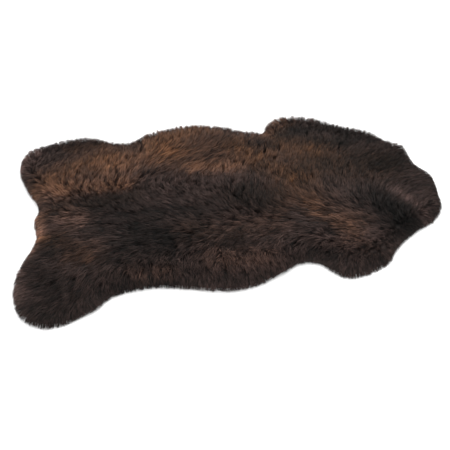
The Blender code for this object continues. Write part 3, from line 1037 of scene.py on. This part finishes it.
def staples(tree, width):
    """The way from each root to the middle of its staple, and that staple's random number and lean."""
    charted = add(tree, "ShaderNodeSeparateXYZ", {0: vectors(tree, "ABSOLUTE", charted_lean(tree))}).outputs
    lies_along = maths(tree, "GREATER_THAN", charted["X"], maths(tree, "ADD", charted["Y"], LIES_ALONG_BY))
    squeeze = mix(tree, "VECTOR", lies_along, (1, STAPLE_OVAL, 0), (STAPLE_OVAL, 1, 0))
    squeezed = vectors(tree, "MULTIPLY", place_of(tree), squeeze)
    cells = add(tree, "ShaderNodeTexVoronoi", {
        "Vector": squeezed, "Scale": maths(tree, "DIVIDE", 1.0, width),
    }, voronoi_dimensions="2D").outputs
    shade = result(tree, "FunctionNodeSeparateColor", {0: cells["Color"]})
    lean = vectors(tree, "MULTIPLY_ADD", cells["Color"], (2, 2, 0), (-1, -1, 0))
    return vectors(tree, "SUBTRACT", cells["Position"], squeezed), shade, lean


print("the steps for roots and leans are ready")

# %% [markdown]
# ## Growing the wool: length, and the whole tree
#
# How long must a lock be? Until it reaches the solid's surface. A Raycast node looks from each point of the
# underwool the way its wool leans and finds that distance. A Blur Attribute node evens it out between
# neighbours, so that no lock sticks out where the ray just missed a lump. At the rim the wool is as long as
# the table said. The copies of the locks are turned so that they bend down, stretched to that length and
# given a shade of their own. Last, they are made real, because copies don't leave Blender, kept above the
# floor, and given their material.

# %% Growing the wool: length, and the whole tree
TREE_INPUTS = (
    # name, socket type, starting value
    ("Underwool", "NodeSocketGeometry", None),
    ("Wool Surface", "NodeSocketObject", None),
    ("Locks", "NodeSocketCollection", None),
    ("Material", "NodeSocketMaterial", None),
    ("Spacing", "NodeSocketFloat", 4.35 * MM),
    ("Staple Width", "NodeSocketFloat", 8 * MM),
    ("Staple Pull", "NodeSocketFloat", 24.0),
    ("Tousle", "NodeSocketFloat", 0.36),
    ("Looseness", "NodeSocketFloat", 0.36),
    ("Evening Out", "NodeSocketInt", 8),
    ("Highest Tip", "NodeSocketFloat", 55 * MM),
    ("From Along", "NodeSocketFloat", -1.0),
    ("To Along", "NodeSocketFloat", 1.0),
    ("Seed", "NodeSocketInt", 7),
)
DENSEST = 60000
LOWEST_FACE = -0.3
USUAL_LENGTH = 32 * MM
LONGEST = 75 * MM
LOCK_LENGTHS = (0.86, 1.08)
STAPLE_LENGTHS = (0.92, 1.08)
LENGTH_CALMED = 0.6
LEAST_RISE = 0.2
SWING = 0.35
NARROWEST = 0.85
SHADE_OF_STAPLE = 0.5
SHADE_CALMED = 0.35
NEVER_BELOW = 0.4 * MM
FAR_OFF = -9.0


def measured_reach(tree, given):
    """The underwool, with each point's way through the wool to the solid's surface kept on it."""
    normal = result(tree, "GeometryNodeInputNormal")
    surface = add(tree, "GeometryNodeObjectInfo", {
        "Object": given["Wool Surface"],
    }, transform_space="RELATIVE").outputs["Geometry"]
    ray = add(tree, "GeometryNodeRaycast", {
        "Target Geometry": surface, "Source Position": place_of(tree),
        "Ray Direction": vectors(tree, "ADD", normal, charted_lean(tree)), "Ray Length": LONGEST,
    })
    even = result(tree, "GeometryNodeBlurAttribute", {
        "Value": ray.outputs["Hit Distance"], "Iterations": given["Evening Out"],
    }, data_type="FLOAT")
    reach = mix(tree, "FLOAT", kept(tree, "rim"), even, kept(tree, "rim length"))
    return kept_on(tree, given["Underwool"], "reach", reach)


def lock_length(tree, direction, given, staple_shade):
    """The length of each lock: the reach that was measured, a little longer or shorter by chance."""
    own = chance(tree, given, 2, *LOCK_LENGTHS)
    factor = maths(tree, "MULTIPLY", own, spread_over(tree, staple_shade, *STAPLE_LENGTHS))
    change = maths(tree, "SUBTRACT", factor, 1.0)
    factor = maths(tree, "MULTIPLY_ADD", change, less_if_calm(tree, LENGTH_CALMED), 1.0)
    length = maths(tree, "MULTIPLY", kept(tree, "reach"), factor)
    headroom = maths(tree, "SUBTRACT", given["Highest Tip"], axis_of(tree, place_of(tree), "Z"))
    rise = maths(tree, "MAXIMUM", axis_of(tree, direction, "Z"), LEAST_RISE)
    return maths(tree, "MINIMUM", length, maths(tree, "DIVIDE", headroom, rise))


def turn_of_lock(tree, direction, given):
    """Each lock's rotation: it stands along its direction, and its weight bends it down."""
    upright = add(tree, "FunctionNodeAlignRotationToVector", {"Vector": direction}, axis="Z")
    down = chance(tree, given, 3, (-SWING, -SWING, -1), (SWING, SWING, -1))
    return result(tree, "FunctionNodeAlignRotationToVector", {
        "Rotation": upright.outputs[0], "Vector": vectors(tree, "ADD", down, charted_lean(tree)),
    }, axis="X", pivot_axis="Z")


def faces_outwards(tree):
    """Whether a face of the underwool looks up or out, and not down at the floor."""
    normal = result(tree, "GeometryNodeInputNormal")
    return maths(tree, "GREATER_THAN", axis_of(tree, normal, "Z"), LOWEST_FACE)


def in_band(tree, given):
    """Whether a root lies in the band of the skin that one piece covers."""
    along = axis_of(tree, place_of(tree), "X")
    after = maths(tree, "SUBTRACT", 1.0, maths(tree, "LESS_THAN", along, given["From Along"]))
    return maths(tree, "MULTIPLY", after, maths(tree, "LESS_THAN", along, given["To Along"]))


def lock_shade(tree, given, staple_shade):
    """Each lock's shade from 0 to 1, partly its staple's and partly its own, and more even in calm wool."""
    own = maths(tree, "MULTIPLY", chance(tree, given, 5, 0.0, 1.0), 1 - SHADE_OF_STAPLE)
    mixed = maths(tree, "MULTIPLY_ADD", staple_shade, SHADE_OF_STAPLE, own)
    from_middle = maths(tree, "SUBTRACT", mixed, 0.5)
    return maths(tree, "MULTIPLY_ADD", from_middle, less_if_calm(tree, SHADE_CALMED), 0.5)


def copied_locks(tree, given, points, direction, staple_shade):
    """A lock on each root: which kind, how long and wide, how turned and of what shade."""
    length = lock_length(tree, direction, given, staple_shade)
    breadth = maths(tree, "SQRT", maths(tree, "DIVIDE", length, USUAL_LENGTH))
    breadth = maths(tree, "MAXIMUM", breadth, NARROWEST)
    kinds = add(tree, "GeometryNodeCollectionInfo", {
        "Collection": given["Locks"], "Separate Children": True, "Reset Children": True,
    })
    which = add(tree, "FunctionNodeRandomValue", {
        4: 0, 5: LOCK_KINDS - 1, "Seed": maths(tree, "ADD", given["Seed"], 4),
    }, data_type="INT").outputs[2]
    shaded = kept_on(tree, points, "shade", lock_shade(tree, given, staple_shade))
    return result(tree, "GeometryNodeInstanceOnPoints", {
        "Points": shaded, "Selection": in_band(tree, given), "Instance": kinds.outputs[0],
        "Pick Instance": True, "Instance Index": which, "Rotation": turn_of_lock(tree, direction, given),
        "Scale": result(tree, "ShaderNodeCombineXYZ", {0: breadth, 1: breadth, 2: length}),
    })


def make_growing_tree():
    """The Geometry Nodes tree that grows one band of the skin's wool."""
    tree = bpy.data.node_groups.new("grow wool", "GeometryNodeTree")
    for name, kind, start in TREE_INPUTS:
        socket = tree.interface.new_socket(name, in_out="INPUT", socket_type=kind)
        if start is not None:
            socket.default_value = start
    tree.interface.new_socket("Wool", in_out="OUTPUT", socket_type="NodeSocketGeometry")
    given = add(tree, "NodeGroupInput").outputs
    roots = add(tree, "GeometryNodeDistributePointsOnFaces", {
        "Mesh": measured_reach(tree, given), "Selection": faces_outwards(tree),
        "Distance Min": given["Spacing"], "Density Max": DENSEST, "Seed": given["Seed"],
    }, distribute_method="POISSON").outputs
    to_staple, staple_shade, staple_lean = staples(tree, given["Staple Width"])
    direction = lean_direction(tree, roots["Normal"], given, to_staple, staple_lean)
    copies = copied_locks(tree, given, roots["Points"], direction, staple_shade)
    real = result(tree, "GeometryNodeRealizeInstances", {"Geometry": copies})
    above = vectors(tree, "MAXIMUM", place_of(tree), (FAR_OFF, FAR_OFF, NEVER_BELOW))
    wool = result(tree, "GeometryNodeSetPosition", {"Geometry": real, "Position": above})
    for name in ("lean", "calm", "rim", "rim length", "reach"):
        wool = result(tree, "GeometryNodeRemoveAttribute", {"Geometry": wool, "Name": name})
    wool = result(tree, "GeometryNodeSetMaterial", {"Geometry": wool, "Material": given["Material"]})
    add(tree, "NodeGroupOutput", {0: wool})
    return tree


growing = make_growing_tree()
print("the growing tree has", len(growing.nodes), "nodes")

# %% [markdown]
# ## The wool, band by band
#
# All the wool in one mesh would be too big a file for most tools, so it is grown in bands across the skin.
# Each band runs the same tree with the same seed over the same underwool and keeps only its own roots, so
# nothing shows where two bands meet.

# %% The wool, band by band
BANDS = (
    # piece, from along, to along, in cm
    ("hind_leg_wool", -100, -37),
    ("croup_wool", -37, -21.5),
    ("loin_wool", -21.5, -6.5),
    ("back_wool", -6.5, 9.5),
    ("shoulder_wool", 9.5, 26),
    ("neck_wool", 26, 100),
)


def grow_band(name, from_along, to_along):
    """One band of wool as a plain mesh object."""
    grower = show("grower", underwool.data)
    modifier = grower.modifiers.new("grow wool", "NODES")
    modifier.node_group = growing
    values = {
        "Wool Surface": solid, "Locks": locks, "Material": lock_wool,
        "From Along": from_along * CM, "To Along": to_along * CM,
    }
    for item in growing.interface.items_tree:
        if item.in_out == "INPUT" and item.name in values:
            modifier[item.identifier] = values[item.name]
    return plain_piece(name, grower, lock_wool)


wool_pieces = [grow_band(*band) for band in BANDS]
for piece in wool_pieces:
    piece.data.calc_loop_triangles()
    print(piece.name, "has", len(piece.data.loop_triangles), "triangles")
for lock in list(locks.objects):
    bpy.data.objects.remove(lock)
bpy.data.collections.remove(locks)

# %% [markdown]
# ## Hand the pieces over
#
# Each piece is told which body it moves with, and the solid is hidden, since the pieces show in its place.

# %% Hand the pieces over
for piece in (hide, underwool, *wool_pieces):
    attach(piece, "root")
    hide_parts("sheepskin")
print("handed over", 2 + len(wool_pieces), "pieces")
